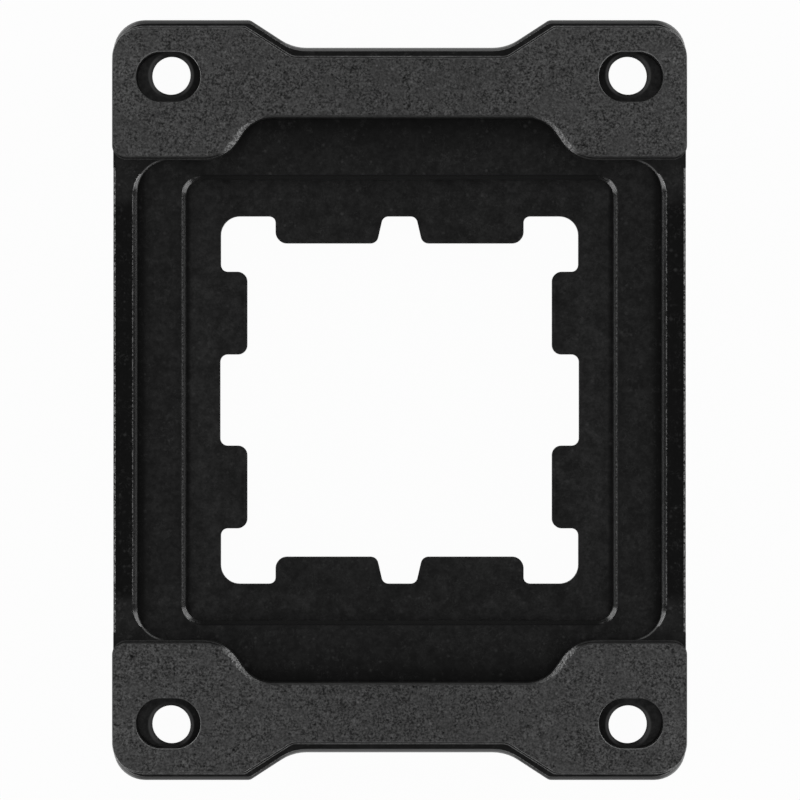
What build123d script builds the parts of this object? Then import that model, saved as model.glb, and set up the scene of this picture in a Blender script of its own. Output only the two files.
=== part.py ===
from build123d import *
from math import atan2, tan
import os

# A retention bracket for a processor in a square socket, in millimetres.
# It lies on its cooler side (Z = 0) with the side that meets the circuit board facing up.
# X runs across the bracket and Y along it, between the two padded ends.

# Deeper pocket, over the processor's square package with some room along and across
package_size = 40.0
package_room_across = 0.25
package_room_along = 0.9
package_pocket_radius = 1.7
package_pocket_depth = 2.2
package_pocket_width = package_size + 2 * package_room_across
package_pocket_length = package_size + 2 * package_room_along

# Shallower pocket round it, over the socket's housing: its floor is a ledge on all four sides,
# and its two ends step further out in the middle, between the arms of the pads
ledge_width_across = 4.48
ledge_width_along = 1.7
middle_step = 4.0
arm_bend_spacing = 32.88
bend_run = 2.7
arm_bend_radius = 3.85
middle_bend_radius = 3.3
socket_pocket_radius = 3.0
socket_pocket_depth = 1.8
socket_pocket_width = package_pocket_width + 2 * ledge_width_across
socket_pocket_side_length = package_pocket_length + 2 * ledge_width_along
socket_pocket_middle_length = socket_pocket_side_length + 2 * middle_step

# Lip below the pockets, whose eight tabs press on the legs of the processor's lid
lip_thickness = 1.5

# Milled frame round the pockets: a slim rail on each side and a block at each end
rail_width = 2.19
end_block_width = 13.15
frame_width = socket_pocket_width + 2 * rail_width
frame_length = socket_pocket_side_length + 2 * end_block_width
frame_thickness = lip_thickness + package_pocket_depth + socket_pocket_depth

# Outline, with a shallow waist in each end between two shoulders
corner_radius = 3.0
waist_depth = 2.6
waist_width = 20.1
shoulder_spacing = 28.1
shoulder_radius = 0.8
waist_radius = 4.4

# Opening in the lip, out to the notches between its tabs
opening_width = 34.12
opening_length = 34.95
opening_corner_set_in = 0.06
opening_corner_radius = 1.8

# Four tabs on the long sides, two each, with a gap between the two
side_tab_reach = 2.57
side_tab_length = 7.85
side_tab_gap = 8.67
side_tab_radius = 0.9
side_root_radius = 0.7

# Four tabs on the ends, two each, with a gap between the two that widens to the tips
end_tab_reach = 2.57
end_tab_outer_spacing = 23.55
end_tab_gap_at_root = 3.15
end_tab_gap_at_tip = 4.33
end_tab_outer_radius = 1.05
end_tab_inner_radius = 0.75
end_root_radius = 0.65

# Four screws, each with an oblong recess for a backplate post and a counterbore for the head
screw_side_distance = 5.32
screw_end_distance = 5.05
screw_hole_diameter = 3.68
screw_hole_edge_break = 0.15
screw_web_thickness = 1.6
recess_length = 6.0
recess_width = 4.62
recess_depth = 2.0
recess_offset_out = 0.14
recess_offset_in = 0.31
counterbore_diameter = 7.4
counterbore_depth = frame_thickness - recess_depth - screw_web_thickness

# Edge breaks. Those along the rails stop short of the pads: the outer ones square across, and the
# inner ones in an outline with rounded corners, whose sides lie a margin outside the edge break.
rail_edge_break = 0.2
rail_edge_break_stop = 0.75
socket_pocket_edge_break = 0.41
socket_pocket_break_stop = 1.22
socket_pocket_break_stop_radius = 1.41
socket_pocket_break_stop_margin = 0.1
package_pocket_edge_break = 0.38
end_bevel_width = 0.35
end_bevel_height = 0.4
end_bevel_corner_growth = 0.25
cooler_side_edge_break = 0.4
opening_edge_break = 0.25

# Insulating pads on the end blocks, each a sheet on a thin film that shows a little past it
pad_thickness = 0.5
pad_end_margin = 0.57
pad_waist_margin = 0.8
pad_shoulder_margin = 0.45
pad_waist_bend_radius = 1.2
pad_inner_corner_radius = 1.35
pad_film_thickness = 0.1
film_reveal_inside = 0.2
film_reveal_outside = 0.11
pad_edge_break = 0.12
pad_recess_clearance = 0.05

# Heights of the floors over the cooler side, and how far a cut runs past an open face
socket_floor_z = lip_thickness + package_pocket_depth
recess_floor_z = counterbore_depth + screw_web_thickness
cut_overrun = 1.0


def closed_outline(corners):
    """Make a face from (x, y, radius) corners, each rounded by its radius."""
    points = [(x, y) for x, y, _ in corners]
    radii = [radius for _, _, radius in corners]
    return make_face(FilletPolyline(*points, radius=radii, close=True))


def mirrored_across_y(corners):
    """Return the corners of the right half followed by their mirror images on the left."""
    return corners + [(-x, y, radius) for x, y, radius in reversed(corners)]


def mirrored_four_ways(corners):
    """Return a closed loop of corners from those of its first quarter."""
    upper = mirrored_across_y(corners)
    return upper + [(x, -y, radius) for x, y, radius in reversed(upper)]


def frame_outline(end_set_back=0.0, corner_growth=0.0):
    """Face of the waisted outline, with its ends set back and its corners rounded further."""
    end_y = frame_length / 2 - end_set_back
    return closed_outline(
        mirrored_four_ways(
            [
                (frame_width / 2, end_y, corner_radius + corner_growth),
                (shoulder_spacing / 2, end_y, shoulder_radius),
                (waist_width / 2, end_y - waist_depth, waist_radius),
            ]
        )
    )


def pocket_end_bends():
    """The two bends where the socket pocket's end steps out between the pad's arms."""
    return [
        (arm_bend_spacing / 2, socket_pocket_side_length / 2, arm_bend_radius),
        (arm_bend_spacing / 2 - bend_run, socket_pocket_middle_length / 2, middle_bend_radius),
    ]


def set_back(bends, inset, direction):
    """Move the two bends of a stepped edge along Y, so that the whole edge lies inset further in.

    The first bend is the outer one and convex, and the second is concave.
    """
    (outer_x, outer_y, outer_radius), (inner_x, inner_y, inner_radius) = bends
    slope = atan2(abs(inner_y - outer_y), outer_x - inner_x)
    shift_x = inset * tan(slope / 2)
    shift_y = inset * direction
    return [
        (outer_x + shift_x, outer_y + shift_y, outer_radius - inset),
        (inner_x + shift_x, inner_y + shift_y, inner_radius + inset),
    ]


def socket_pocket():
    """Space over the socket's housing, down from the board side."""
    corners = [(socket_pocket_width / 2, socket_pocket_side_length / 2, socket_pocket_radius)]
    outline = closed_outline(mirrored_four_ways(corners + pocket_end_bends()))
    return Pos(0, 0, socket_floor_z) * extrude(outline, socket_pocket_depth + cut_overrun)


def flared_mouth(width, length, radius, edge_break, top_z):
    """Edge break of a rectangular outline that widens up to top_z."""
    lower = Pos(0, 0, top_z - edge_break) * RectangleRounded(width, length, radius)
    grown = RectangleRounded(width + 2 * edge_break, length + 2 * edge_break, radius + edge_break)
    return loft([lower, Pos(0, 0, top_z) * grown])


def socket_pocket_side_breaks():
    """Edge breaks along the socket pocket's two sides.

    Their cutter's path ends flush with the pocket's ends at the top, so they narrow round the
    pocket's corners.
    """
    mouth = flared_mouth(
        socket_pocket_width,
        socket_pocket_side_length - 2 * socket_pocket_edge_break,
        socket_pocket_radius,
        socket_pocket_edge_break,
        frame_thickness,
    )
    reach_across = socket_pocket_width + 2 * socket_pocket_edge_break + 2 * socket_pocket_break_stop_margin
    reach_along = socket_pocket_side_length - 2 * socket_pocket_break_stop
    reach = RectangleRounded(reach_across, reach_along, socket_pocket_break_stop_radius)
    return mouth & extrude(reach, 2 * frame_thickness)


def rail_edge_breaks():
    """Edge breaks along the outer edges of the two rails, which stop short of the pads."""
    reach = socket_pocket_side_length - 2 * rail_edge_break_stop
    edge = frame_width / 2
    wedge = make_face(
        Polyline(
            (edge - rail_edge_break, frame_thickness),
            (edge, frame_thickness - rail_edge_break),
            (edge + cut_overrun, frame_thickness - rail_edge_break),
            (edge + cut_overrun, frame_thickness + cut_overrun),
            (edge - rail_edge_break, frame_thickness + cut_overrun),
            close=True,
        )
    )
    outer = extrude(Plane.XZ * wedge, reach / 2, both=True)
    return [outer, mirror(outer, about=Plane.YZ)]


def package_pocket():
    """Space over the processor's package, with a broken edge at the socket pocket's floor."""
    outline = RectangleRounded(package_pocket_width, package_pocket_length, package_pocket_radius)
    walls = Pos(0, 0, lip_thickness) * extrude(outline, frame_thickness - lip_thickness + cut_overrun)
    mouth = flared_mouth(
        package_pocket_width,
        package_pocket_length,
        package_pocket_radius,
        package_pocket_edge_break,
        socket_floor_z,
    )
    return [walls, mouth]


def lid_opening():
    """Opening between the eight tabs that press on the legs of the processor's lid."""
    side_x = opening_width / 2
    corner_x = side_x - opening_corner_set_in
    end_y = opening_length / 2
    side_tip_x = side_x - side_tab_reach
    end_tip_y = end_y - end_tab_reach
    side_tab_start = side_tab_gap / 2
    side_tab_end = side_tab_start + side_tab_length
    corners = [
        (side_x, side_tab_start, side_root_radius),
        (side_tip_x, side_tab_start, side_tab_radius),
        (side_tip_x, side_tab_end, side_tab_radius),
        (corner_x, side_tab_end, side_root_radius),
        (corner_x, end_y, opening_corner_radius),
        (end_tab_outer_spacing / 2, end_y, end_root_radius),
        (end_tab_outer_spacing / 2, end_tip_y, end_tab_outer_radius),
        (end_tab_gap_at_tip / 2, end_tip_y, end_tab_inner_radius),
        (end_tab_gap_at_root / 2, end_y, end_root_radius),
    ]
    outline = closed_outline(mirrored_four_ways(corners))
    return Pos(0, 0, -cut_overrun) * extrude(outline, lip_thickness + 2 * cut_overrun)


def screw_places():
    """Centres of the four screws, as (x, y)."""
    x = frame_width / 2 - screw_side_distance
    y = frame_length / 2 - screw_end_distance
    return [(side * x, end * y) for side in (-1, 1) for end in (-1, 1)]


def recess_face(x, y, clearance=0.0):
    """Oblong face of the recess round the screw at (x, y), grown by a clearance."""
    centre_x = x + recess_offset_out * (1 if x > 0 else -1)
    centre_y = y - recess_offset_in * (1 if y > 0 else -1)
    return Pos(centre_x, centre_y) * SlotOverall(
        recess_length + 2 * clearance, recess_width + 2 * clearance
    )


def screw_cuts(x, y):
    """Recess, hole, edge break and counterbore of the screw at (x, y)."""
    hole_radius = screw_hole_diameter / 2
    recess = Pos(0, 0, recess_floor_z) * extrude(recess_face(x, y), recess_depth + cut_overrun)
    hole = Pos(x, y, frame_thickness / 2) * Cylinder(hole_radius, frame_thickness + 2 * cut_overrun)
    edge_break = Pos(x, y, recess_floor_z - screw_hole_edge_break / 2) * Cone(
        hole_radius, hole_radius + screw_hole_edge_break, screw_hole_edge_break
    )
    counterbore = Pos(x, y, (counterbore_depth - cut_overrun) / 2) * Cylinder(
        counterbore_diameter / 2, counterbore_depth + cut_overrun
    )
    return [recess, hole, edge_break, counterbore]


def blank():
    """Block of the outline, its ends bevelled at the top and its edge broken at the bottom."""
    straight_height = frame_thickness - end_bevel_height
    block = extrude(frame_outline(), straight_height)
    block = chamfer(block.faces().sort_by(Axis.Z)[0].edges(), cooler_side_edge_break)
    bevelled = loft(
        [
            Pos(0, 0, straight_height) * frame_outline(),
            Pos(0, 0, frame_thickness) * frame_outline(end_bevel_width, end_bevel_corner_growth),
        ],
        ruled=True,
    )
    return block + bevelled


def frame():
    """The milled frame, in one piece."""
    body = blank() - socket_pocket()
    body -= socket_pocket_side_breaks()
    body -= rail_edge_breaks()
    body -= package_pocket()
    body -= lid_opening()
    cooler_face = body.faces().sort_by(Axis.Z)[0]
    body = chamfer(cooler_face.inner_wires()[0].edges(), opening_edge_break)
    for x, y in screw_places():
        body -= screw_cuts(x, y)
    return body


def pad_outline(inside, outside):
    """Face of a pad on the rear end, set back by two insets from its largest outline.

    That outline is flush with the socket pocket's end wall, stands a hair past the frame's
    sides and leaves a margin along the end. The insets are for its inside edge and the others.
    """
    side_x = frame_width / 2 + film_reveal_outside - outside
    inner_y = socket_pocket_side_length / 2 + inside
    end_y = frame_length / 2 - pad_end_margin
    waist_y = frame_length / 2 - waist_depth - pad_waist_margin
    end_bends = [
        (shoulder_spacing / 2 + pad_shoulder_margin, end_y, shoulder_radius),
        (waist_width / 2, waist_y, pad_waist_bend_radius),
    ]
    corners = [
        *reversed(set_back(pocket_end_bends(), inside, 1)),
        (side_x, inner_y, pad_inner_corner_radius - inside),
        (side_x, end_y - outside, corner_radius - outside),
        *set_back(end_bends, outside, -1),
    ]
    return closed_outline(mirrored_across_y(corners))


def rear_pad():
    """Insulating pad on the rear end, cut out over the two recesses there."""
    film = extrude(pad_outline(0.0, 0.0), pad_film_thickness)
    sheet = extrude(pad_outline(film_reveal_inside, film_reveal_outside), pad_thickness)
    pad = film + sheet
    for x, y in screw_places():
        if y > 0:
            pad -= extrude(recess_face(x, y, pad_recess_clearance), pad_thickness)
    pad = chamfer(pad.faces().sort_by(Axis.Z)[-1].edges(), pad_edge_break)
    return Pos(0, 0, frame_thickness) * pad


def front_pad():
    """The same pad turned half round, on the front end."""
    return Rot(0, 0, 180) * rear_pad()


os.makedirs("parts", exist_ok=True)
export_step(frame(), "parts/frame.step")
export_step(rear_pad(), "parts/rear_pad.step")
export_step(front_pad(), "parts/front_pad.step")
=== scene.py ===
"""Looks of a processor's retention bracket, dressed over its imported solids.

The bracket lies on its cooler side, and the camera looks straight down on the side that meets the
circuit board. Lengths named here are in millimetres, and are turned to metres where a mesh, a lamp
or the camera is made. Its four quarters look alike, so the finishes go by the distances from its
middle, across it (X) and along it (Y), and by the height over its cooler side.
"""

import logging
from dataclasses import dataclass
from enum import Enum
from math import atan2, ceil, cos, hypot, pi, radians, sin, tan

import bmesh
import bpy
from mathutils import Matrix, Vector, noise
from mathutils.geometry import tessellate_polygon

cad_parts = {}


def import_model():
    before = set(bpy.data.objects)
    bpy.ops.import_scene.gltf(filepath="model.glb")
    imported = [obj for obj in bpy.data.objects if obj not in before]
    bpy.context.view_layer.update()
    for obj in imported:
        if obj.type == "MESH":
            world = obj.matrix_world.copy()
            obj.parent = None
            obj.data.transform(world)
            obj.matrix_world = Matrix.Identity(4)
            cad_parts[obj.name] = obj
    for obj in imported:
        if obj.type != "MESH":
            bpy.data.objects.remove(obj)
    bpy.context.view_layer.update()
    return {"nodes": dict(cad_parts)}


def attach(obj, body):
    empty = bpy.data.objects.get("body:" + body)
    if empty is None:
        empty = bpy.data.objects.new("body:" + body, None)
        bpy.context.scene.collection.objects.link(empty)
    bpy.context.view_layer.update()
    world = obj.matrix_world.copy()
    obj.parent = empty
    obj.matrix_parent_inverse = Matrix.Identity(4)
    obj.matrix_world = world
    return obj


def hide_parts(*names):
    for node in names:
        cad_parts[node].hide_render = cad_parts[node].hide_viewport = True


MM = 0.001
FULL_HEIGHT = 6.0
WALL_REACH = 4.0
CORNER_ACROSS = (24.2, 25.4)
CORNER_ALONG = (32.4, 33.6)

Socket = bpy.types.NodeSocket
Point = tuple[float, float]
Span = tuple[float, float]

log = logging.getLogger("bracket")


class Graph:
    """A node tree with short ways to add nodes and to join their sockets."""

    def __init__(self, tree: bpy.types.NodeTree) -> None:
        """Start on the tree of a material, a world or a group, which is emptied."""
        tree.nodes.clear()
        self.tree = tree

    def add(self, kind: str, inputs: dict | None = None, **settings) -> bpy.types.Node:
        """Add a node.

        Args:
            kind: The node's type after the word ShaderNode, or the whole name of another type.
            inputs: Input names or numbers, each with a constant or the socket that feeds it.
            settings: Properties of the node itself.

        Returns:
            The new node.
        """
        node = self.tree.nodes.new(kind if kind.startswith("NodeGroup") else f"ShaderNode{kind}")
        for key, value in settings.items():
            setattr(node, key, value)
        for key, value in (inputs or {}).items():
            self.feed(node.inputs[key], value)
        return node

    def feed(self, socket: Socket, value: object) -> None:
        """Link a socket to an input, or set the input to a constant.

        Args:
            socket: The input.
            value: An output socket, a number or a tuple of numbers.
        """
        if isinstance(value, Socket):
            self.tree.links.new(value, socket)
        else:
            socket.default_value = value

    def math(self, operation: str, *values: object) -> Socket:
        """Return the result of a Math node on the given values."""
        return self.add("Math", dict(enumerate(values)), operation=operation).outputs[0]

    def product(self, *factors: object) -> Socket:
        """Multiply values.

        Args:
            factors: Two or more sockets or numbers.

        Returns:
            Their product.
        """
        result = factors[0]
        for factor in factors[1:]:
            result = self.math("MULTIPLY", result, factor)
        return result

    def mix(self, factor: object, first: object, second: object) -> Socket:
        """Return the value between the first, at factor 0, and the second, at factor 1."""
        return self.add("Mix", {0: factor, 2: first, 3: second}).outputs[0]

    def ramp(self, value: object, span: Span, to_low: float = 0.0, to_high: float = 1.0) -> Socket:
        """Map a value smoothly from one range to another and hold it at the ends.

        Args:
            value: The value to map.
            span: Where the first range starts and ends.
            to_low: The result at its start.
            to_high: The result at its end.

        Returns:
            The mapped value.
        """
        low, high = span
        ends = {"Value": value, "From Min": low, "From Max": high, "To Min": to_low, "To Max": to_high}
        return self.add("MapRange", ends, interpolation_type="SMOOTHSTEP").outputs["Result"]

    def profile(self, value: object, top: float, stops: list[Point]) -> Socket:
        """Look a value up on straight lines through stops.

        Args:
            value: The value to look up, from 0 to the top.
            top: The top of the value's range.
            stops: Pairs of a value and the result there, from low to high.

        Returns:
            The result.
        """
        node = self.add("ValToRGB", {0: self.math("DIVIDE", value, top)})
        elements = node.color_ramp.elements
        for element, (place, level) in zip(elements, (stops[0], stops[-1])):
            element.position = place / top
            element.color = (level, level, level, 1.0)
        for place, level in stops[1:-1]:
            elements.new(place / top).color = (level, level, level, 1.0)
        return node.outputs[0]


class GroupBuilder:
    """Makes a shader node group with named inputs and outputs."""

    def __init__(self, name: str) -> None:
        """Start an empty group.

        Args:
            name: The group's name.
        """
        self.tree = bpy.data.node_groups.new(name, "ShaderNodeTree")
        self.graph = Graph(self.tree)
        self.inside = self.graph.add("NodeGroupInput")
        self.outside = self.graph.add("NodeGroupOutput")

    def number(self, name: str, default: float) -> Socket:
        """Add an input that takes a number.

        Args:
            name: The input's name.
            default: Its value where a material sets none.

        Returns:
            Its value inside the group.
        """
        socket = self.tree.interface.new_socket(name, in_out="INPUT", socket_type="NodeSocketFloat")
        socket.default_value = default
        return self.inside.outputs[name]

    def point(self) -> Socket:
        """Add an input named Point and return its value inside the group."""
        self.tree.interface.new_socket("Point", in_out="INPUT", socket_type="NodeSocketVector")
        return self.inside.outputs["Point"]

    def give(self, name: str, value: Socket) -> None:
        """Add an output that gives a number from inside the group."""
        self.tree.interface.new_socket(name, in_out="OUTPUT", socket_type="NodeSocketFloat")
        self.graph.feed(self.outside.inputs[name], value)


class Effects:
    """The effects that more than one finish uses, each built once as a node group."""

    def __init__(self) -> None:
        """Build every group."""
        self.grain = self._grain()
        self.specks = self._specks()

    def _grain(self) -> bpy.types.NodeTree:
        """Build fine grain and broad cloudy patches, each about 0.5.

        Returns:
            The group.
        """
        group = GroupBuilder("fine_grain")
        point = group.point()
        fine_scale = group.number("Grains per mm", 5.0)
        curl = group.number("Curl", 0.0)
        cloud_scale = group.number("Patches per mm", 0.3)
        fine = {"Vector": point, "Scale": fine_scale, "Detail": 2.0, "Roughness": 0.7, "Distortion": curl}
        cloud = {"Vector": point, "Scale": cloud_scale, "Detail": 4.0, "Roughness": 0.6}
        group.give("Grain", group.graph.add("TexNoise", fine).outputs[0])
        group.give("Patches", group.graph.add("TexNoise", cloud).outputs[0])
        return group.tree

    def _specks(self) -> bpy.types.NodeTree:
        """Build sparse specks of random size.

        Returns:
            A group that gives 1 in the middle of a speck and 0 off it.
        """
        group = GroupBuilder("specks")
        graph = group.graph
        point = group.point()
        scale = group.number("Cells per mm", 1.2)
        radius = group.number("Radius", 0.1)
        chosen_share = group.number("Share", 0.1)
        cells = graph.add("TexVoronoi", {"Vector": point, "Scale": scale})
        random = graph.add("SeparateColor", {0: cells.outputs["Color"]})
        chosen = graph.math("LESS_THAN", random.outputs[0], chosen_share)
        size = graph.math("MULTIPLY", radius, graph.math("ADD", random.outputs[1], 0.5))
        inside = graph.math("SUBTRACT", 1.0, graph.math("DIVIDE", cells.outputs["Distance"], size))
        inside.node.use_clamp = True
        group.give("Speck", graph.math("MULTIPLY", chosen, inside))
        return group.tree


@dataclass(frozen=True)
class Grain:
    """How a finish sets the shared grain.

    Attributes:
        fine: Grains per millimetre.
        broad: Cloudy patches per millimetre.
        curl: How much the grains curl.
    """

    fine: float
    broad: float
    curl: float = 0.0


@dataclass(frozen=True)
class Specks:
    """How a finish sets the shared specks.

    Attributes:
        cells: Cells per millimetre, each of which may hold a speck.
        chosen: The share of the cells that hold one.
        radius: A speck's usual radius, as a share of a cell's side.
    """

    cells: float
    chosen: float
    radius: float


class Surface(Graph):
    """A material's node tree, and where the shaded point is on the bracket.

    Attributes:
        material: The material.
        effects: The shared node groups.
        point: The point in the bracket's own frame, in millimetres.
        across: Its distance from the middle across the bracket.
        along: Its distance from the middle along it.
        height: Its height over the cooler side.
    """

    def __init__(self, name: str, effects: Effects) -> None:
        """Start a material.

        Args:
            name: The material's name.
            effects: The shared node groups.
        """
        self.material = bpy.data.materials.new(name)
        self.material.use_nodes = True
        super().__init__(self.material.node_tree)
        self.effects = effects
        metres = self.add("TexCoord").outputs["Object"]
        self.point = self.add("VectorMath", {0: metres, "Scale": 1 / MM}, operation="SCALE").outputs[0]
        parts = self.add("SeparateXYZ", {0: self.point})
        self.across = self.math("ABSOLUTE", parts.outputs[0])
        self.along = self.math("ABSOLUTE", parts.outputs[1])
        self.height = parts.outputs[2]

    def clouds(self, scale: float, detail: float, roughness: float = 0.5, curl: float = 0.0) -> Socket:
        """Add plain cloudy noise.

        Args:
            scale: Clouds per millimetre.
            detail: How many finer layers there are.
            roughness: How much the finer layers show.
            curl: How much the clouds curl.

        Returns:
            The noise, about 0.5.
        """
        values = {"Vector": self.point, "Scale": scale, "Detail": detail}
        values |= {"Roughness": roughness, "Distortion": curl}
        return self.add("TexNoise", values).outputs[0]

    def grain(self, grain: Grain) -> tuple[Socket, Socket]:
        """Place the shared grain.

        Args:
            grain: Its values.

        Returns:
            The fine grain and the broad patches, each about 0.5.
        """
        values = {"Point": self.point, "Grains per mm": grain.fine, "Patches per mm": grain.broad}
        values["Curl"] = grain.curl
        node = self.add("Group", values, node_tree=self.effects.grain)
        return node.outputs["Grain"], node.outputs["Patches"]

    def specks(self, specks: Specks) -> Socket:
        """Place the shared specks.

        Args:
            specks: Their values.

        Returns:
            1 in the middle of a speck and 0 off it.
        """
        values = {"Point": self.point, "Cells per mm": specks.cells}
        values |= {"Share": specks.chosen, "Radius": specks.radius}
        return self.add("Group", values, node_tree=self.effects.specks).outputs[0]

    def by_height(self, stops: list[Point]) -> Socket:
        """Return what the stops give at the point's height."""
        return self.profile(self.height, FULL_HEIGHT, stops)

    def from_wall(self, wall: object, place: Socket, stops: list[Point]) -> Socket:
        """Return what the stops give at the point's distance from a wall."""
        return self.profile(self.math("SUBTRACT", wall, place), WALL_REACH, stops)

    def at_corner(self) -> Socket:
        """Return 1 round an outer corner of the bracket and 0 away from it."""
        return self.product(self.ramp(self.across, CORNER_ACROSS), self.ramp(self.along, CORNER_ALONG))

    def distance_to(self, centre: Point) -> Socket:
        """Measure the distance, seen from above, to a point in the same quarter.

        Args:
            centre: The point's distances from the middle.

        Returns:
            The distance.
        """
        run_x = self.math("SUBTRACT", self.across, centre[0])
        run_y = self.math("SUBTRACT", self.along, centre[1])
        square = self.math("MULTIPLY_ADD", run_x, run_x, self.math("MULTIPLY", run_y, run_y))
        return self.math("SQRT", square)

    def shade(
        self, tone: Socket, roughness: Socket, relief: Socket, gloss: float, depth: float, strength: float
    ) -> bpy.types.Material:
        """Join everything to the shader.

        Args:
            tone: How light the neutral grey is.
            roughness: The roughness.
            relief: The relief's height, from 0 to 1.
            gloss: The shader's specular level.
            depth: How deep the relief is.
            strength: How strongly it shows.

        Returns:
            The finished material.
        """
        bump = {"Height": relief, "Distance": depth * MM, "Strength": strength}
        looks = {
            "Base Color": self.add("CombineColor", {0: tone, 1: tone, 2: tone}).outputs[0],
            "Roughness": roughness,
            "Specular IOR Level": gloss,
            "Normal": self.add("Bump", bump).outputs[0],
        }
        shader = self.add("BsdfPrincipled", looks)
        self.add("OutputMaterial", {"Surface": shader.outputs[0]})
        return self.material


@dataclass(frozen=True)
class FrameSizes:
    """Places on the milled frame that its finish follows.

    The last letter tells whether a place is a distance across (x), a distance along (y) or a
    height (z), and a Span is where one look gives way to the next. The lip is the floor of the
    inner pocket, which the tabs are part of. The ledge is the floor of the socket pocket round it,
    whose wall at the ends slants beside the pads' arms. The strips are the tops between the slim
    rails and the pads.

    Attributes:
        over_ledge_z: Just over the ledge.
        under_recess_z: A height between a screw's head and its recess's floor.
        near_top_z: A height a little under the tops.
        recess_x: Where a recess's floor goes from painted shade to painted light.
        arm_x: Where the shade along the slanting wall ends.
        tab_start_y: Where the dark band by a side tab's tip starts.
        tab_end_y: Where it ends.
        ring_radius: The outer radius of the ring round a screw's hole that is painted with a highlight.
        waist_x: Where a waist gives way to the corners of its end.
        end_y: Where the broken edge of an end starts.
        side_x: Where that of a side starts.
    """

    lip_z: float = 1.5
    ledge_z: float = 3.7
    over_ledge_z: Span = (3.75, 3.8)
    top_z: Span = (5.0, 5.4)
    outer_edge_z: Span = (4.9, 5.0)
    lip_wall_x: float = 20.25
    lip_wall_y: float = 20.9
    ledge_wall_x: float = 24.73
    ledge_wall_y: float = 22.6
    middle_wall_y: float = 26.6
    arm_inner_x: float = 13.74
    arm_outer_x: float = 16.44
    arm_x: Span = (14.0, 17.0)
    tab_tip_x: float = 14.54
    tab_start_y: Span = (6.4, 7.0)
    tab_end_y: Span = (10.4, 11.0)
    strip_y: Span = (18.0, 19.5)
    strip_end_y: Span = (21.0, 22.0)
    socket_corner: Point = (21.73, 19.6)
    socket_corner_radius: float = 3.0
    recess_y: Span = (27.4, 27.8)
    recess_x: Span = (19.3, 21.8)
    under_recess_z: float = 3.3
    near_top_z: float = 4.6
    screw: Point = (21.6, 30.7)
    ring_radius: float = 2.15
    waist_x: Span = (10.4, 11.4)
    end_y: Span = (32.3, 32.6)
    side_x: Span = (26.6, 26.7)


@dataclass(frozen=True)
class AnodisedFinish:
    """Black anodised aluminium, satin on the cut faces, lighter along its broken edges from wear and from
    painted highlights.

    Each tone is how light the neutral grey is at most.

    Attributes:
        sizes: The places that the finish follows.
        plain_tone: The walls and the cooler side.
        hole_highlight_tone: The painted highlight on the ring round the screw holes.
        corner_highlight_tone: The painted highlight on the sharp edge of the socket pocket's corners.
        slope_tone: The slopes that face the sides, under their wear.
        end_slope_tone: The slopes that face the ends.
        wear_and_highlight_tone: The wear on the slopes, and the painted highlight at their foot.
        side_wear_and_highlight_tone: The dotted wear and painted highlight on the broken edges of the
            sides; the next two are the painted highlights on the ends and the waists.
    """

    sizes: FrameSizes
    plain_tone: float = 0.012
    lip_tone: float = 0.0290
    ledge_tone: float = 0.0200
    rail_tone: float = 0.0015
    strip_tone: float = 0.0125
    # The screw recesses' floors are painted lighter than the other floors: painted light.
    recess_light_tone: float = 0.082
    hole_highlight_tone: float = 0.320
    corner_highlight_tone: float = 0.130
    slope_tone: float = 0.001
    end_slope_tone: float = 0.0105
    wear_and_highlight_tone: float = 0.080
    side_wear_and_highlight_tone: float = 0.1235
    end_highlight_tone: float = 0.042
    waist_highlight_tone: float = 0.095
    scuff_tone: float = 0.014
    scratch_tone: float = 0.016
    speck_tone: float = 0.040
    flat_roughness: float = 0.34
    slope_roughness: float = 0.22
    grain: Grain = Grain(fine=4.0, broad=1.7)
    specks: Specks = Specks(cells=2.2, chosen=0.2, radius=0.36)

    def material(self, effects: Effects) -> bpy.types.Material:
        """Build the material with the shared node groups."""
        return AnodisedSurface(self, effects).dressed()


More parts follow.
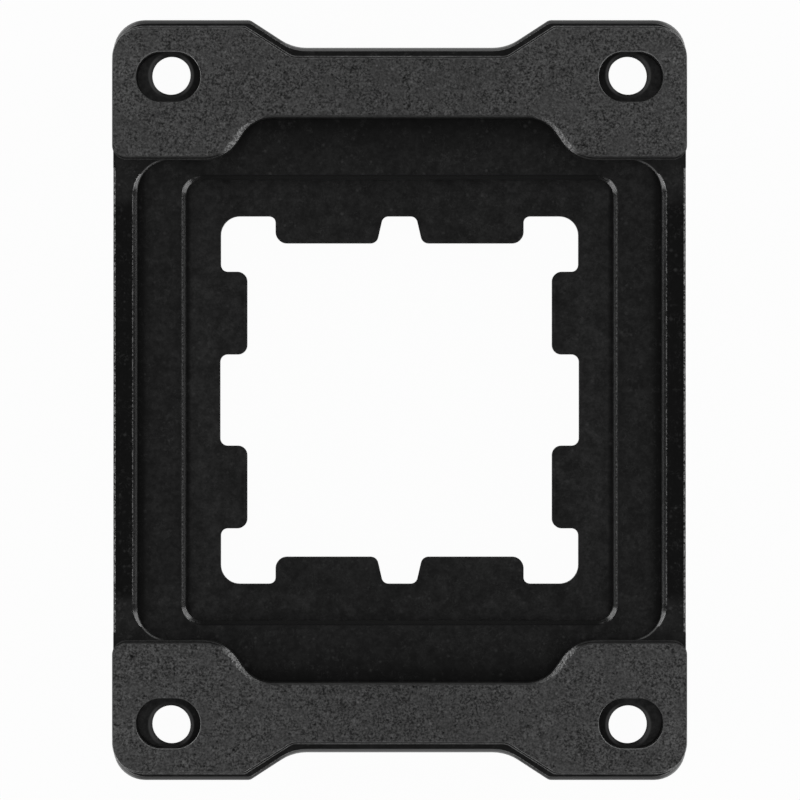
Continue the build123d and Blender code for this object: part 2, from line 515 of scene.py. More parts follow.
class AnodisedSurface(Surface):
    """The anodised finish as it is laid on the milled frame.

    Attributes:
        finish: The finish.
        sizes: The places that it follows.
        fine: The finish's fine grain.
        patches: Its broad patches.
        sideways: The share of facing a side of the bracket.
        upright: The share of being on an upright wall.
        slope: The share of being on a slope, which is neither level nor upright.
    """

    def __init__(self, finish: AnodisedFinish, effects: Effects) -> None:
        """Start the material.

        Args:
            finish: The finish.
            effects: The shared node groups.
        """
        super().__init__("anodised_metal", effects)
        self.finish = finish
        self.sizes = finish.sizes
        self.fine, self.patches = self.grain(finish.grain)
        normal = self.add("SeparateXYZ", {0: self.add("NewGeometry").outputs["True Normal"]})
        self.sideways = self.ramp(self.math("ABSOLUTE", normal.outputs[0]), (0.05, 0.3))
        level = self.math("ABSOLUTE", normal.outputs[2])
        self.upright = self.ramp(level, (0.1, 0.3), 1.0, 0.0)
        tilted = self.ramp(level, (0.88, 0.95), 1.0, 0.0)
        self.slope = self.product(self.ramp(level, (0.3, 0.42)), tilted)

    def dressed(self) -> bpy.types.Material:
        """Put every part of the finish together.

        Returns:
            The finished material.
        """
        flat = self.product(self._floor_tone(), self._near_wall())
        flat = self.mix(self.upright, flat, self.finish.plain_tone)
        flat = self.product(flat, self._milled())
        flat = self.math("ADD", flat, self._marks())
        # Painted highlight along the socket pocket's corners.
        flat = self.math("ADD", flat, self._pocket_corner_highlight())
        # Slopes are painted lighter where they face the sides than where they face the ends: painted
        # light and shade by facing.
        edge = self.mix(self.sideways, self._end_slope(), self._side_slope())
        # Painted highlight round the outside edges, with dotted wear at the sides.
        edge = self.math("ADD", edge, self._outer_edge_highlight_and_wear())
        # The ring round the screw holes is a painted highlight.
        ring, ring_highlight_tone = self._hole_highlight()
        tone = self.mix(ring, self.mix(self.slope, flat, edge), ring_highlight_tone)
        smoother = self.mix(self.slope, 1.0, 0.3)
        relief = self.mix(smoother, 0.5, self.fine)
        return self.shade(tone, self._roughness(), relief, gloss=0.25, depth=0.004, strength=0.5)

    def _on_lip(self) -> Socket:
        """Return 1 below the height halfway from the lip to the ledge, and 0 above it."""
        return self.math("LESS_THAN", self.height, (self.sizes.lip_z + self.sizes.ledge_z) / 2)

    def _floor_tone(self) -> Socket:
        """Find the tone of the level faces, which differs from floor to floor.

        Returns:
            The tone.
        """
        sizes, finish = self.sizes, self.finish
        across, along, height = self.across, self.along, self.height
        worn_end = self.ramp(along, sizes.strip_end_y, 1.35, 1.0)
        strip = self.product(worn_end, finish.strip_tone)
        top = self.mix(self.ramp(along, sizes.strip_y), finish.rail_tone, strip)
        pockets = [(sizes.lip_z, finish.lip_tone), (sizes.ledge_z, finish.ledge_tone)]
        floors = [(0.0, finish.plain_tone), *pockets]
        # Painted light and shade: the floors are painted darker towards the middle, and the ledge lighter
        # round the socket pocket's lit corners.
        on_lip = self.ramp(across, (0.0, 14.0), 0.74, 1.0)
        painted_corner_light = self.ramp(along, (16.0, 19.0))
        lit_corner = self.product(self.ramp(across, (19.5, 21.5), 0.0, 0.25), painted_corner_light)
        on_ledge = self.math("ADD", self.ramp(across, (0.0, 9.0), 0.88, 1.0), lit_corner)
        light = self.mix(self._on_lip(), on_ledge, on_lip)
        lower = self.product(self.by_height(floors), light)
        over_head = self.math("GREATER_THAN", height, sizes.under_recess_z)
        in_recess = self.product(self.ramp(along, sizes.recess_y), over_head)
        # Painted light and shade: a recess's floor is painted lighter than the other floors, dim on its
        # inner side and lit on its outer side.
        recess = self.ramp(across, sizes.recess_x, 0.3 * finish.recess_light_tone, finish.recess_light_tone)
        lower = self.mix(in_recess, lower, recess)
        return self.mix(self.ramp(height, sizes.top_z), lower, top)

    def _near_wall(self) -> Socket:
        """Shade the pockets' floors beside their walls, with a lighter band beyond the shade.

        Returns:
            A factor under 1 at a wall, over 1 in the band, and 1 away from both.
        """
        in_recess = self.ramp(self.along, self.sizes.recess_y)
        elsewhere = self.math("ADD", in_recess, self.ramp(self.height, self.sizes.over_ledge_z))
        elsewhere.node.use_clamp = True
        floor = self.mix(self._on_lip(), self._ledge_shade(), self._lip_shade())
        return self.mix(elsewhere, floor, 1.0)

    def _ledge_shade(self) -> Socket:
        """Shade the ledge along its walls.

        Returns:
            The factor.
        """
        sizes = self.sizes
        slant = {
            "Value": self.across,
            "From Min": sizes.arm_inner_x,
            "From Max": sizes.arm_outer_x,
            "To Min": sizes.middle_wall_y,
            "To Max": sizes.ledge_wall_y,
        }
        end_wall = self.add("MapRange", slant).outputs["Result"]
        end_stops = [(0.0, 0.3), (0.9, 0.35), (1.3, 0.6), (2.6, 0.9), (4.0, 1.0)]
        by_end = self.from_wall(end_wall, self.along, end_stops)
        by_end = self.mix(self.ramp(self.across, sizes.arm_x), by_end, 1.0)
        side_stops = [(0.0, 0.15), (0.5, 0.25), (0.85, 0.85), (1.3, 1.2), (3.4, 1.2), (4.0, 1.0)]
        return self.product(self.from_wall(sizes.ledge_wall_x, self.across, side_stops), by_end)

    def _lip_shade(self) -> Socket:
        """Shade the lip along its walls, and at the tips of the side tabs.

        Returns:
            The factor.
        """
        side_stops = [(0.0, 0.3), (0.2, 0.4), (0.5, 1.25), (2.8, 1.2), (3.3, 1.0)]
        end_stops = [(0.0, 1.12), (0.5, 1.25), (1.9, 1.15), (3.0, 1.0)]
        return self.product(
            self.from_wall(self.sizes.lip_wall_x, self.across, side_stops),
            self.from_wall(self.sizes.lip_wall_y, self.along, end_stops),
            self._tab_tip(),
        )

    def _tab_tip(self) -> Socket:
        """Draw the dark band, with a light line in it, by the tips of the side tabs.

        Returns:
            A factor about 1.
        """
        sizes = self.sizes
        stops = [(0.0, 1.0), (0.08, 0.75), (0.18, 1.15), (0.3, 0.6), (0.5, 0.75), (0.8, 1.0)]
        band = self.profile(self.math("SUBTRACT", self.across, sizes.tab_tip_x), 1.0, stops)
        start = self.ramp(self.along, sizes.tab_start_y)
        end = self.ramp(self.along, sizes.tab_end_y, 1.0, 0.0)
        return self.mix(self.product(start, end), 1.0, band)

    def _milled(self) -> Socket:
        """Make the fine unevenness of the cut faces: grain, cloudy patches and blotches.

        Returns:
            A factor about 1.
        """
        blotch = self.ramp(self.clouds(scale=0.55, detail=2.0), (0.3, 0.7), 0.8, 1.2)
        patch = self.ramp(self.patches, (0.3, 0.7), 0.66, 1.32)
        fine = self.ramp(self.fine, (0.25, 0.75), 0.8, 1.2)
        return self.product(blotch, patch, fine)

    def _marks(self) -> Socket:
        """Make the light marks of handling: small scuffs, curly scratches and sparse specks.

        Returns:
            How much lighter the tone is.
        """
        blotch = self.clouds(scale=1.5, detail=4.0, roughness=0.65, curl=0.6)
        scuff = self.ramp(blotch, (0.58, 0.7), 0.0, self.finish.scuff_tone)
        area = self.clouds(scale=0.7, detail=2.0)
        curly = self.clouds(scale=1.9, detail=1.0, curl=0.8)
        away = self.math("ABSOLUTE", self.math("SUBTRACT", curly, 0.5))
        scratch = self.ramp(away, (0.006, 0.03), self.finish.scratch_tone, 0.0)
        scratch = self.product(scratch, self.ramp(area, (0.46, 0.6)))
        speck = self.product(self.specks(self.finish.specks), self.ramp(area, (0.4, 0.6), 0.3, 1.0))
        return self.math("MULTIPLY_ADD", speck, self.finish.speck_tone, self.math("ADD", scuff, scratch))

    def _pocket_corner_highlight(self) -> Socket:
        """Paint a highlight line on the sharp edge of the socket pocket's corners.

        Returns:
            How much lighter the tone is.
        """
        radius = self.sizes.socket_corner_radius
        corner_x, corner_y = self.sizes.socket_corner
        distance = self.distance_to(self.sizes.socket_corner)
        return self.product(
            self.ramp(distance, (radius + 0.04, radius + 0.1), self.finish.corner_highlight_tone, 0.0),
            self.ramp(self.across, (corner_x + 0.3, corner_x + 1.4)),
            self.math("GREATER_THAN", self.along, corner_y),
            self.math("GREATER_THAN", self.height, self.sizes.near_top_z),
        )

    def _end_slope(self) -> Socket:
        """Return the tone of the slopes that face the ends, with a painted shade at the inner pocket's
        top.
        """
        shares = [(0.0, 1.0), (3.5, 1.0), (3.6, 0.7), (3.72, 0.7), (3.9, 1.0)]
        return self.by_height([(z, part * self.finish.end_slope_tone) for z, part in shares])

    def _side_slope(self) -> Socket:
        """Find the tone of the slopes that face the sides, with a painted highlight at their foot and
        wear at their top.

        Returns:
            The tone.
        """
        # The foot stops paint a highlight at the slopes' foot.
        ledge_foot = [(3.30, 0.0), (3.38, 0.34), (3.47, 0.12), (3.64, 0.12), (3.72, 0.1)]
        top_foot = [(5.07, 0.0), (5.12, 0.28), (5.19, 0.3), (5.24, 0.0), (5.33, 0.0)]
        pale = self.by_height([(0.0, 0.22), *ledge_foot, *top_foot])
        ledge_edge = [(3.47, 0.0), (3.56, 0.65), (3.64, 0.1), (3.72, 0.0)]
        top_edge = [(5.33, 0.0), (5.40, 0.1), (5.46, 1.0)]
        line = self.by_height([*ledge_edge, *top_edge])
        dots = self.clouds(scale=4.2, detail=2.0, roughness=0.6)
        wear_and_highlight = self.math("MULTIPLY_ADD", line, self.ramp(dots, (0.45, 0.57), 0.0, 1.5), pale)
        return self.math("MULTIPLY_ADD", wear_and_highlight, self.finish.wear_and_highlight_tone, self.finish.slope_tone)

    def _outer_edge_highlight_and_wear(self) -> Socket:
        """Paint highlights on the broken edges round the outside, evenly at the ends and paler round the
        corners, and dotted wear with painted highlight at the sides.

        Returns:
            How much lighter the tone is.
        """
        sizes, finish = self.sizes, self.finish
        line = self.by_height([(4.9, 0.0), (5.0, 2.5), (5.2, 2.3), (5.3, 1.1), (5.5, 1.0)])
        at_end = self.ramp(self.along, sizes.end_y)
        end = self.mix(self.ramp(self.across, sizes.waist_x), finish.waist_highlight_tone, finish.end_highlight_tone)
        outer_corner_highlight = self.math("MULTIPLY_ADD", self.at_corner(), 1.2, 1.0)
        end = self.product(end, at_end, outer_corner_highlight)
        dots = self.clouds(scale=4.0, detail=2.0, roughness=0.6)
        side = self.product(
            self.ramp(dots, (0.46, 0.57), 0.0, finish.side_wear_and_highlight_tone),
            self.ramp(self.across, sizes.side_x),
            self.ramp(self.height, sizes.outer_edge_z),
        )
        return self.math("MULTIPLY_ADD", end, line, side)

    def _hole_highlight(self) -> tuple[Socket, Socket]:
        """Paint a highlight on the ring round the screw holes, brightest at its left and right.

        Returns:
            Where the ring is, as a share, and its tone.
        """
        radius = self.sizes.ring_radius
        distance = self.distance_to(self.sizes.screw)
        in_ring = self.ramp(distance, (radius - 0.1, radius + 0.1), 1.0, 0.0)
        middle_z, reach_z = 3.5, 1.5
        near_floor = self.math("COMPARE", self.height, middle_z, reach_z)
        run = self.math("ABSOLUTE", self.math("SUBTRACT", self.across, self.sizes.screw[0]))
        sideways = self.math("DIVIDE", run, distance)
        tone = self.ramp(sideways, (0.3, 0.85), 0.35 * self.finish.hole_highlight_tone, self.finish.hole_highlight_tone)
        return self.product(in_ring, near_floor), tone

    def _roughness(self) -> Socket:
        """Find the roughness: satin on level faces, glossier on slopes, but less so by the pads.

        Returns:
            The roughness.
        """
        by_pad = self.product(
            self.ramp(self.along, (21.1, 21.9), 0.0, 0.3),
            self.math("GREATER_THAN", self.height, self.sizes.top_z[0]),
        )
        on_slope = self.math("ADD", by_pad, self.finish.slope_roughness)
        base = self.mix(self.slope, self.finish.flat_roughness, on_slope)
        return self.math("ADD", self.ramp(self.fine, (0.2, 0.8), -0.05, 0.05), base)


@dataclass(frozen=True)
class PadFaceFinish:
    """Matt black insulating sheet with a speckle from dark to light grey, smooth in places.

    Attributes:
        speck_tone: How much lighter or darker than the speckle a speck is.
    """

    dark_tone: float = 0.012
    light_tone: float = 0.130
    speck_tone: float = 0.078
    grain: Grain = Grain(fine=4.7, broad=2.1, curl=0.4)
    light_specks: Specks = Specks(cells=2.8, chosen=0.3, radius=0.38)
    dark_specks: Specks = Specks(cells=2.5, chosen=0.26, radius=0.3)

    def material(self, effects: Effects) -> bpy.types.Material:
        """Build the material.

        Args:
            effects: The shared node groups.

        Returns:
            The material.
        """
        surface = Surface("pad_sheet", effects)
        grain, patches = surface.grain(self.grain)
        speckle = surface.mix(0.3, grain, patches)
        tone = surface.ramp(speckle, (0.355, 0.655), self.dark_tone, self.light_tone)
        smooth = surface.ramp(surface.clouds(scale=0.6, detail=1.0), (0.48, 0.62), 0.0, 0.4)
        tone = surface.mix(smooth, tone, (self.dark_tone + self.light_tone) / 2)
        tone = surface.product(tone, surface.ramp(surface.across, (4.0, 14.0), 0.96, 1.08))
        # Painted highlight: the face is painted lighter round the outer corners.
        corner_light_stops = [(26.0, 0.0), (31.0, 1.0), (32.5, 1.0), (33.5, 0.0)]
        painted_corner_light = surface.profile(surface.along, 40.0, corner_light_stops)
        painted_corner_light = surface.product(painted_corner_light, surface.ramp(surface.across, (22.5, 26.0), 0.0, 0.2))
        tone = surface.product(tone, surface.math("ADD", painted_corner_light, 1.0))
        light, dark = surface.specks(self.light_specks), surface.specks(self.dark_specks)
        tone = surface.math("MULTIPLY_ADD", surface.math("SUBTRACT", light, dark), self.speck_tone, tone)
        tone = surface.math("MAXIMUM", tone, 0.0)
        roughness = surface.ramp(grain, (0.3, 0.7), 0.72, 0.88)
        return surface.shade(tone, roughness, grain, gloss=0.25, depth=0.03, strength=0.6)


@dataclass(frozen=True)
class PadEdgeFinish:
    """The sheet's cut edge, frayed on its two bends, with painted highlights there, along the end, round
    the outer corners and by the screw recesses, or the film under it.

    Attributes:
        name: The material's name.
        tone: How pale it is along the socket pocket.
        outer_highlight_tone: How pale its painted highlight makes it along the end.
        corner_highlight_tone: How much paler its painted highlight makes it round the outer corners.
        frayed_highlight_tone: How pale its painted highlight makes it on the frayed bends at most.
        grain: Its grain.
    """

    name: str
    tone: float
    outer_highlight_tone: float
    corner_highlight_tone: float
    frayed_highlight_tone: float
    grain: Grain = Grain(fine=5.0, broad=1.4)

    def material(self, effects: Effects) -> bpy.types.Material:
        """Build the material.

        Args:
            effects: The shared node groups.

        Returns:
            The material.
        """
        surface = Surface(self.name, effects)
        across, along = surface.across, surface.along
        grain, patches = surface.grain(self.grain)
        fine = surface.ramp(grain, (0.25, 0.75), 0.6, 1.4)
        patch = surface.ramp(patches, (0.3, 0.7), 0.75, 1.25)
        level = surface.ramp(along, (30.0, 33.0), self.tone, self.outer_highlight_tone)
        level = surface.math("MULTIPLY_ADD", surface.at_corner(), self.corner_highlight_tone, level)
        # Painted highlight on the rim by the inner side of each screw recess.
        hole_stops = [(28.2, 0.0), (29.2, 1.0), (31.6, 1.0), (32.6, 0.0)]
        hole_rim_highlight = surface.product(
            surface.ramp(across, (19.6, 20.4), 1.0, 0.0),
            surface.ramp(across, (17.5, 18.5)),
            surface.profile(along, 40.0, hole_stops),
        )
        level = surface.math("MULTIPLY_ADD", hole_rim_highlight, self.tone * 3, level)
        tone = surface.product(fine, patch, level)
        # Painted highlight on the two frayed bends.
        bend_stops = [(12.4, 0.0), (13.6, 0.45), (15.0, 1.0), (16.1, 1.0), (16.9, 0.0)]
        bend = surface.profile(across, 20.0, bend_stops)
        bend = surface.product(bend, surface.ramp(along, (27.0, 28.0), 1.0, 0.0))
        frayed = surface.ramp(grain, (0.38, 0.62), 0.15, 1.0)
        tone = surface.mix(bend, tone, surface.product(frayed, self.frayed_highlight_tone))
        roughness = surface.ramp(grain, (0.3, 0.7), 0.5, 0.7)
        return surface.shade(tone, roughness, grain, gloss=0.3, depth=0.02, strength=0.7)


@dataclass
class MilledFrame:
    """The milled frame. Its solid has the true shape, so it stays and takes the anodised finish."""

    node: bpy.types.Object
    sizes: FrameSizes = FrameSizes()

    def dress(self, effects: Effects) -> None:
        """Give the frame its finish.

        Args:
            effects: The shared node groups.
        """
        material = AnodisedFinish(self.sizes).material(effects)
        for slot in self.node.material_slots:
            slot.material = material
        log.info("%s: %d faces", self.node.name, len(self.node.data.polygons))


class PadEnd(Enum):
    """The end of the bracket that a pad lies on, as the sign of its place along Y."""

    REAR = 1
    FRONT = -1


class PadSkin(Enum):
    """The pad's finishes, as the numbers of its material slots."""

    FACE = 0
    CUT_EDGE = 1
    FILM = 2


@dataclass
class InsulatingPad:
    """A die-cut insulating sheet on a thin film, glued on one end of the frame.

    Its outline runs along the socket pocket's end, round the frame's sides and along the waisted
    end. The sizes are those of the rear pad, and the front one is the same, turned half round.

    Attributes:
        end: The end that it lies on.
        thickness: The thickness of the film and the sheet together.
        radii: The radii of the outline's corners, from the middle of its inner edge to the waist.
        hole_rounding: How far a hole's rim is set back, and how far down that starts.
        inside_reveal: How much of the film shows along the socket pocket.
        outside_reveal: How much of it shows elsewhere.
        hidden_reveal: The share of it that is lost where the reveal narrows.
        film_rounding: How far the film's own rim is set back.
        lean: How far the cut edge leans in under its slope.
        edge_slope: The width of that slope, and frayed_slope how much is added by fraying.
        edge_drop: How far under the face it starts, and frayed_drop how much further by fraying.
        narrow_x: Where the outer reveal narrows towards the sides.
        coarse_waves: Waves per millimetre of the cut edge's coarse unevenness.
        fine_waves: Those of its fine unevenness.
        step: The longest distance between points of the outline.
    """

    end: PadEnd
    bottom_z: float = 5.5
    film_thickness: float = 0.1
    thickness: float = 0.5
    side_x: float = 27.03
    side_y: float = 22.6
    middle_y: float = 26.6
    end_y: float = 35.18
    waist_y: float = 32.35
    arm_outer_x: float = 16.44
    arm_inner_x: float = 13.74
    shoulder_x: float = 14.5
    waist_x: float = 10.05
    radii: tuple[float, ...] = (3.3, 3.85, 1.35, 3.0, 0.8, 1.2)
    recess_centre: Point = (21.74, 30.39)
    recess_half_run: float = 0.69
    recess_radius: float = 2.36
    recess_steps: int = 28
    hole_rounding: Point = (0.05, 0.06)
    inside_reveal: float = 0.2
    outside_reveal: float = 0.18
    hidden_reveal: float = 0.8
    film_rounding: float = 0.09
    lean: float = 0.03
    edge_slope: float = 0.04
    frayed_slope: float = 0.32
    edge_drop: float = 0.10
    frayed_drop: float = 0.20
    narrow_x: Span = (24.8, 26.4)
    fray_start_x: Span = (12.8, 15.4)
    fray_end_x: Span = (16.0, 16.9)
    coarse_waves: float = 2.3
    fine_waves: float = 6.0
    step: float = 0.16

    def outline(self) -> list[Point]:
        """Lay out the film's outline.

        Returns:
            Closely spaced points, anticlockwise seen from above.
        """
        places = (
            (self.arm_inner_x, self.middle_y),
            (self.arm_outer_x, self.side_y),
            (self.side_x, self.side_y),
            (self.side_x, self.end_y),
            (self.shoulder_x, self.end_y),
            (self.waist_x, self.waist_y),
        )
        right = [(x, y, radius) for (x, y), radius in zip(places, self.radii)]
        left = [(-x, y, radius) for x, y, radius in reversed(right)]
        return rounded_loop(right + left, self.step)

    def recess_loop(self, side: int) -> list[Point]:
        """Return the oblong hole over a screw's recess, anticlockwise.

        Args:
            side: 1 for the right hole and -1 for the left.

        Returns:
            Closely spaced points.
        """
        centre_x, centre_y = self.recess_centre
        radius = self.recess_radius
        loop = []
        for start, shift in ((-pi / 2, self.recess_half_run), (pi / 2, -self.recess_half_run)):
            for i in range(self.recess_steps + 1):
                angle = start + pi * i / self.recess_steps
                x = side * centre_x + shift + radius * cos(angle)
                loop.append((x, centre_y + radius * sin(angle)))
        return loop

    def build(self) -> bpy.types.Object:
        """Build the pad as a mesh of its own.

        Returns:
            The pad.
        """
        shape = bmesh.new()
        loops = [[shape.verts.new(point) for point in ring] for ring in self._edge_rings()]
        skins = (PadSkin.CUT_EDGE, PadSkin.CUT_EDGE, PadSkin.FILM, PadSkin.CUT_EDGE, PadSkin.CUT_EDGE)
        for lower, upper, skin in zip(loops, loops[1:], skins):
            join_rings(shape, lower, upper, skin.value)
        top_loops = [loops[-1]]
        bottom_loops = [loops[0]]
        top = self.bottom_z + self.thickness
        set_back, depth = self.hole_rounding
        for side in (-1, 1):
            hole = self.recess_loop(side)
            levels = ((0.0, self.bottom_z), (0.0, top - depth), (set_back, top))
            rings = [[(x, y, z) for x, y in pushed(hole, -grow)] for grow, z in levels]
            walls = [[shape.verts.new(point) for point in ring] for ring in rings]
            for lower, upper in zip(walls, walls[1:]):
                join_rings(shape, upper, lower, PadSkin.CUT_EDGE.value)
            top_loops.append(walls[-1])
            bottom_loops.append(walls[0])
        fill_between(shape, top_loops, PadSkin.FACE.value, faces_up=True)
        fill_between(shape, bottom_loops, PadSkin.FILM.value, faces_up=False)
        for vert in shape.verts:
            x, y, z = vert.co * MM
            vert.co = (x * self.end.value, y * self.end.value, z)
        mesh = bpy.data.meshes.new(f"{self.end.name.lower()}_insulating_pad")
        shape.to_mesh(mesh)
        shape.free()
        pad = bpy.data.objects.new(mesh.name, mesh)
        bpy.context.collection.objects.link(pad)
        return pad

    def _edge_rings(self) -> list[list[tuple[float, float, float]]]:
        """Return the rings of points that step in and up from the film's foot to the sheet's face.

        Returns:
            The rings, from the lowest to the highest.
        """
        outline = self.outline()
        reveal = []
        slope = []
        drop = []
        for x, y in outline:
            inside, bend, fray = self._edge_kind(x, y)
            outside = self.outside_reveal * (1.0 - self.hidden_reveal * share(abs(x), self.narrow_x))
            level = outside + (self.inside_reveal - outside) * inside
            reveal.append(level * (1.0 - self.hidden_reveal * bend))
            slope.append(self._slope_width(x, y, inside, fray))
            drop.append(self.edge_drop + self.frayed_drop * fray)
        film_z = self.bottom_z + self.film_thickness
        top = self.bottom_z + self.thickness
        film_rim = [min(self.film_rounding, 0.9 * width) for width in reveal]
        slope_foot = [width + self.lean for width in reveal]
        face = [first + second for first, second in zip(slope_foot, slope)]
        count = len(outline)
        levels = [
            ([0.0] * count, [self.bottom_z] * count),
            ([0.01] * count, [film_z - 0.02] * count),
            (film_rim, [film_z] * count),
            (reveal, [film_z] * count),
            (slope_foot, [top - depth for depth in drop]),
            (face, [top] * count),
        ]
        return [
            [(x, y, z) for (x, y), z in zip(pushed_each(outline, insets), heights)]
            for insets, heights in levels
        ]

    def _slope_width(self, x: float, y: float, inside: float, fray: float) -> float:
        """Find the uneven width of the cut edge's slope at a point of the outline.

        Args:
            x: The point's place across the bracket.
            y: Its place along it.
            inside: The share of being on the edge along the socket pocket.
            fray: The share of being frayed.

        Returns:
            The width.
        """
        coarse = noise.noise(Vector((x * self.coarse_waves, y * self.coarse_waves, 0.0)))
        fine = noise.noise(Vector((x * self.fine_waves, y * self.fine_waves, 3.0)))
        width = self.edge_slope + self.edge_slope * inside + self.frayed_slope * fray
        return max(0.02, width * (1.0 + 0.5 * coarse + 0.5 * fine))

    def _edge_kind(self, x: float, y: float) -> tuple[float, float, float]:
        """Tell which part of the outline a point is on.

        Args:
            x: Its place across the bracket.
            y: Its place along it.

        Returns:
            Three shares from 0 to 1: of the edge along the socket pocket, of its part from bend to
            bend, and of the fray on the slanting edge.
        """
        reach = abs(x)
        limit = self.middle_y + 0.4 if reach < self.arm_outer_x + 1 else self.side_y + 1.6
        if y > limit:
            return 0.0, 0.0, 0.0
        inside = share(self.side_x - reach, (0.0, 0.6))
        bend = 1.0 - share(reach, (self.arm_outer_x - 0.2, self.arm_outer_x + 0.8))
        fray = share(reach, self.fray_start_x) * (1.0 - share(reach, self.fray_end_x))
        return inside, bend, fray


def share(value: float, span: Span) -> float:
    """Return how far the value is from the span's start, at 0, to its end, at 1."""
    return min(1.0, max(0.0, (value - span[0]) / (span[1] - span[0])))


def join_rings(shape: bmesh.types.BMesh, lower: list, upper: list, skin: int) -> None:
    """Join two closed rings of the same count with a band of faces.

    Args:
        shape: The mesh.
        lower: The first ring.
        upper: The second ring.
        skin: The number of the faces' material slot.
    """
    for i in range(len(lower)):
        j = (i + 1) % len(lower)
        shape.faces.new((lower[i], lower[j], upper[j], upper[i])).material_index = skin


def fill_between(shape: bmesh.types.BMesh, loops: list[list], skin: int, faces_up: bool) -> None:
    """Close the area between an outer loop and the holes in it.

    Args:
        shape: The mesh.
        loops: The outer loop, then the holes.
        skin: The number of the faces' material slot.
        faces_up: Whether the area faces up.
    """
    verts = [vert for loop in loops for vert in loop]
    for corners in tessellate_polygon([[vert.co for vert in loop] for loop in loops]):
        first, second, third = (verts[index] for index in corners)
        turn = (second.co - first.co).cross(third.co - first.co).z
        if (turn > 0) != faces_up:
            second, third = third, second
        shape.faces.new((first, second, third)).material_index = skin


def rounded_loop(corners: list[tuple[float, float, float]], step: float) -> list[Point]:
    """Round the corners of a closed outline and space points along it.

    Args:
        corners: The (x, y, radius) of each corner, in order.
        step: The longest distance between two points.

    Returns:
        The points, anticlockwise.
    """
    points: list[Point] = []
    for i, (x, y, radius) in enumerate(corners):
        before, after = corners[i - 1], corners[(i + 1) % len(corners)]
        inward = unit(before[0] - x, before[1] - y)
        outward = unit(after[0] - x, after[1] - y)
        opening = abs(angle_between(inward, outward))
        trim = radius / tan(opening / 2)
        start = (x + inward[0] * trim, y + inward[1] * trim)
        end = (x + outward[0] * trim, y + outward[1] * trim)
        bisector = unit(inward[0] + outward[0], inward[1] + outward[1])
        reach = hypot(radius, trim)
        centre = (x + bisector[0] * reach, y + bisector[1] * reach)
        if points:
            points.extend(between(points[-1], start, step))
        from_centre = (start[0] - centre[0], start[1] - centre[1])
        sweep = angle_between(from_centre, (end[0] - centre[0], end[1] - centre[1]))
        first = atan2(from_centre[1], from_centre[0])
        pieces = max(3, ceil(abs(sweep) * radius / step))
        for k in range(pieces + 1):
            angle = first + sweep * k / pieces
            points.append((centre[0] + radius * cos(angle), centre[1] + radius * sin(angle)))
    points.extend(between(points[-1], points[0], step))
    area = sum(a[0] * b[1] - b[0] * a[1] for a, b in zip(points, points[1:] + points[:1]))
    return points if area > 0 else points[::-1]


def unit(x: float, y: float) -> Point:
    """Return the direction of (x, y)."""
    length = hypot(x, y)
    return (x / length, y / length)


def angle_between(first: Point, second: Point) -> float:
    """Return the angle from the first direction to the second, in radians."""
    return atan2(first[0] * second[1] - first[1] * second[0], first[0] * second[0] + first[1] * second[1])


def between(start: Point, end: Point, step: float) -> list[Point]:
    """Space points evenly between two points.

    Args:
        start: The first point, which is left out.
        end: The last point, which is left out.
        step: The longest distance between two points.

    Returns:
        The points.
    """
    run = (end[0] - start[0], end[1] - start[1])
    pieces = ceil(hypot(*run) / step)
    return [(start[0] + run[0] * k / pieces, start[1] + run[1] * k / pieces) for k in range(1, pieces)]


def pushed(loop: list[Point], inset: float) -> list[Point]:
    """Return an anticlockwise loop moved inwards by one distance."""
    return pushed_each(loop, [inset] * len(loop))


def pushed_each(loop: list[Point], insets: list[float]) -> list[Point]:
    """Return an anticlockwise loop with each point moved inwards by its own distance.

    Args:
        loop: The points.
        insets: The distance for each.

    Returns:
        The moved points.
    """
    moved = []
    for i, (x, y) in enumerate(loop):
        before, after = loop[i - 1], loop[(i + 1) % len(loop)]
        along = unit(after[0] - before[0], after[1] - before[1])
        moved.append((x - along[1] * insets[i], y + along[0] * insets[i]))
    return moved


@dataclass(frozen=True)
class Lamp:
    """A wide, low soft lamp that faces the bracket.

    Attributes:
        bearing: Degrees round the bracket from +X.
        elevation: Degrees above the floor.
    """

    bearing: int
    elevation: float = 9.0
    distance: float = 420.0
    width: float = 320.0
    height: float = 100.0
    watts: float = 0.96

    def place(self) -> None:
        """Make the lamp and turn it to the bracket."""
        name = f"corner_lamp_{self.bearing}"
        light = bpy.data.lights.new(name, "AREA")
        light.shape = "RECTANGLE"
        light.size = self.width * MM
        light.size_y = self.height * MM
        light.energy = self.watts
        lamp = bpy.data.objects.new(name, light)
        flat = cos(radians(self.elevation)) * self.distance * MM
        up = sin(radians(self.elevation)) * self.distance * MM
        bearing = radians(self.bearing)
        lamp.location = (flat * cos(bearing), flat * sin(bearing), up)
        lamp.rotation_euler = (-lamp.location).to_track_quat("-Z", "Y").to_euler()
        bpy.context.collection.objects.link(lamp)


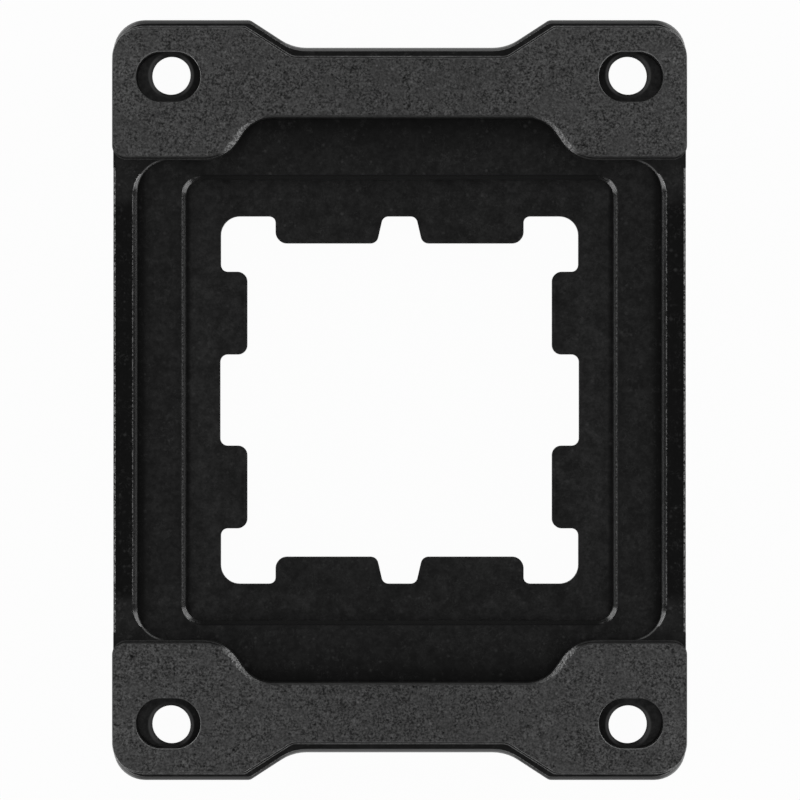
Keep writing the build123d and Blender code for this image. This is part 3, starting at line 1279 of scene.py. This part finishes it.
@dataclass
class Studio:
    """The pale floor, the soft lamps, and the camera that looks straight down.

    Attributes:
        ambient: The strength of the soft light from all round.
        side_ambient: Its strength low on both sides.
        view_distance: The camera's distance from the bracket's top.
        image_width: The photograph's width in pixels.
        pixels_per_mm: Its scale at the bracket's top.
        floor_half: Half of the floor's width.
        floor_glow: How white the floor is to the camera, from 0 to 1.
    """

    lamp_bearings: tuple[int, ...] = (30, 150, 210, 330)
    ambient: float = 0.22
    side_ambient: float = 0.28
    view_distance: float = 400.0
    view_centre: Point = (0.0395, 0.005)
    image_width: float = 800.0
    pixels_per_mm: float = 10.65
    floor_half: float = 2000.0
    floor_z: float = -0.02
    floor_glow: float = 0.97

    def build(self) -> None:
        """Make the floor, the world, the lamps and the camera."""
        self._add_floor()
        self._add_world()
        for bearing in self.lamp_bearings:
            Lamp(bearing).place()
        self._add_camera()

    def _add_floor(self) -> None:
        """Make the wide floor, white to the camera, with a faint shadow, and clear from below."""
        mesh = bpy.data.meshes.new("floor")
        half = self.floor_half * MM
        low = self.floor_z * MM
        corners = [(-half, -half, low), (half, -half, low), (half, half, low), (-half, half, low)]
        mesh.from_pydata(corners, [], [(0, 1, 2, 3)])
        floor = bpy.data.objects.new("floor", mesh)
        bpy.context.collection.objects.link(floor)
        material = bpy.data.materials.new("floor_white")
        material.use_nodes = True
        graph = Graph(material.node_tree)
        glow = graph.add("Emission", {"Color": (1, 1, 1, 1), "Strength": 1.0})
        paper = graph.add("BsdfDiffuse", {"Color": (0.8, 0.8, 0.8, 1)})
        white = graph.math("MULTIPLY", graph.add("LightPath").outputs["Is Camera Ray"], self.floor_glow)
        mixed = graph.add("MixShader", {0: white, 1: paper.outputs[0], 2: glow.outputs[0]})
        below = graph.add("NewGeometry").outputs["Backfacing"]
        clear = graph.add("BsdfTransparent")
        seen = graph.add("MixShader", {0: below, 1: mixed.outputs[0], 2: clear.outputs[0]})
        graph.add("OutputMaterial", {"Surface": seen.outputs[0]})
        mesh.materials.append(material)

    def _add_world(self) -> None:
        """Make the soft light from all round, brightest low on both sides and dim overhead."""
        world = bpy.data.worlds.new("studio")
        world.use_nodes = True
        bpy.context.scene.world = world
        graph = Graph(world.node_tree)
        direction = graph.add("SeparateXYZ", {0: graph.add("TexCoord").outputs["Generated"]})
        sideways = graph.math("ABSOLUTE", direction.outputs[0])
        low = graph.ramp(sideways, (0.3, 0.9), self.ambient, self.side_ambient)
        light = graph.mix(graph.ramp(direction.outputs[2], (0.1, 0.9)), low, self.ambient)
        seen = graph.add("LightPath").outputs["Is Camera Ray"]
        background = {"Color": (1, 1, 1, 1), "Strength": graph.mix(seen, light, 1.0)}
        graph.add("OutputWorld", {"Surface": graph.add("Background", background).outputs[0]})

    def _add_camera(self) -> None:
        """Make the camera, straight above the bracket, with the photograph's framing."""
        data = bpy.data.cameras.new("camera")
        view_width = self.image_width / self.pixels_per_mm
        data.lens = data.sensor_width * self.view_distance / view_width
        data.clip_start = 0.01
        data.clip_end = 10.0
        camera = bpy.data.objects.new("camera", data)
        x, y = self.view_centre
        camera.location = (x * MM, y * MM, (FULL_HEIGHT + self.view_distance) * MM)
        bpy.context.collection.objects.link(camera)
        bpy.context.scene.camera = camera
        bpy.context.scene.view_settings.view_transform = "Standard"


def place_pad(end: PadEnd, node_name: str, materials: list[bpy.types.Material]) -> None:
    """Build a pad in the place of its solid and give it its finishes.

    Args:
        end: The end that it lies on.
        node_name: The solid that it stands for.
        materials: The finishes, in the order of PadSkin.
    """
    pad = InsulatingPad(end).build()
    for material in materials:
        pad.data.materials.append(material)
    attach(pad, "root")
    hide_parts(node_name)
    log.info("%s: %d faces", pad.name, len(pad.data.polygons))


def main() -> None:
    """Load the solids, dress each piece, light them and log each piece's face count."""
    logging.basicConfig(level=logging.INFO, format="%(name)s: %(message)s")
    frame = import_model()
    effects = Effects()
    MilledFrame(frame["nodes"]["frame"]).dress(effects)
    cut_edge = PadEdgeFinish(
        "pad_cut_edge", tone=0.030, outer_highlight_tone=0.16, corner_highlight_tone=0.05, frayed_highlight_tone=0.27
    )
    film = PadEdgeFinish("pad_film", tone=0.012, outer_highlight_tone=0.012, corner_highlight_tone=0.10, frayed_highlight_tone=0.05)
    pad_materials = [finish.material(effects) for finish in (PadFaceFinish(), cut_edge, film)]
    place_pad(PadEnd.REAR, "rear_pad", pad_materials)
    place_pad(PadEnd.FRONT, "front_pad", pad_materials)
    Studio().build()


if __name__ == "__main__":
    main()
